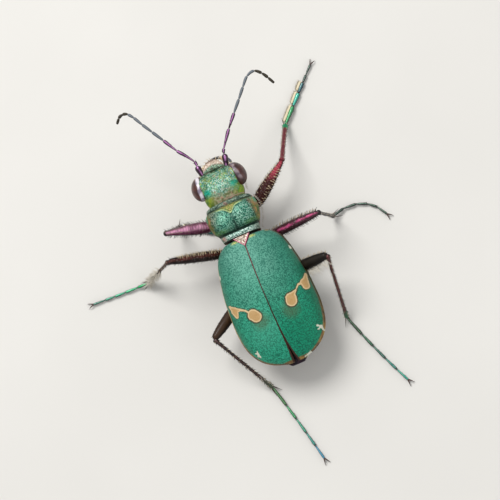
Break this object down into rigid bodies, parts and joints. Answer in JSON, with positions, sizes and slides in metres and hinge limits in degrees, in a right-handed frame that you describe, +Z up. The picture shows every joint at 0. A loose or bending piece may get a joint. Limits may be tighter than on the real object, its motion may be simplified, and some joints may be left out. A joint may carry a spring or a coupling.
{
  "type": "tiger beetle model",
  "caption": "Life-size still model of a green tiger beetle standing on six spread legs, head raised, antennae curved forward.",
  "frame": {"origin": "middle of the outline on the floor it stands on, halfway between its farthest points left and right and front and back", "axes": "+Z up from the floor; the head points along -Y; the beetle's left side is +X"},
  "size_m": [0.0198, 0.0246, 0.0048],
  "materials": {
    "elytra": "emerald green cuticle with fine pits, cream spots and a coppery rim",
    "head_green": "granular metallic green cuticle shading to coppery at the edges",
    "underside": "coppery metallic cuticle, greener on the abdomen",
    "scutellum": "coppery pink cuticle",
    "eye": "glossy dark reddish brown",
    "labrum": "cream lip",
    "mandible": "dark brown, cream at the base",
    "palp": "dark metallic brown with pale hairs",
    "antenna_base": "metallic violet",
    "antenna_tip": "dull blue grey to dark brown",
    "femur": "metallic violet red with rows of bristles",
    "tibia": "coppery red with pale hairs",
    "tarsus": "metallic blue green"
  },
  "bodies": {
    "root": {"eye_left": "eye", "mandible_left": "mandible", "maxillary_palp_left": "palp", "labial_palp_left": "palp", "antenna_left_base": "antenna_base", "antenna_left_shaft": "antenna_base", "antenna_left_flagellum": "antenna_tip", "antenna_left_tip": "antenna_tip", "eye_right": "eye", "mandible_right": "mandible", "maxillary_palp_right": "palp", "labial_palp_right": "palp", "antenna_right_base": "antenna_base", "antenna_right_shaft": "antenna_base", "antenna_right_flagellum": "antenna_tip", "antenna_right_tip": "antenna_tip", "labrum": "labrum", "head": "head_green", "prothorax": "head_green", "scutellum": "scutellum", "elytron_left": "elytra", "elytron_right": "elytra", "thorax": "underside", "abdomen": "underside", "fore_left_coxa": "underside", "fore_left_femur": "femur", "fore_left_tibia": "tibia", "fore_left_tarsus": "tarsus", "fore_right_coxa": "underside", "fore_right_femur": "femur", "fore_right_tibia": "tibia", "fore_right_tarsus": "tarsus", "middle_left_coxa": "underside", "middle_left_femur": "femur", "middle_left_tibia": "tibia", "middle_left_tarsus": "tarsus", "middle_right_coxa": "underside", "middle_right_femur": "femur", "middle_right_tibia": "tibia", "middle_right_tarsus": "tarsus", "hind_left_coxa": "underside", "hind_left_femur": "femur", "hind_left_tibia": "tibia", "hind_left_tarsus": "tarsus", "hind_right_coxa": "underside", "hind_right_femur": "femur", "hind_right_tibia": "tibia", "hind_right_tarsus": "tarsus"}
  },
  "joints": []
}
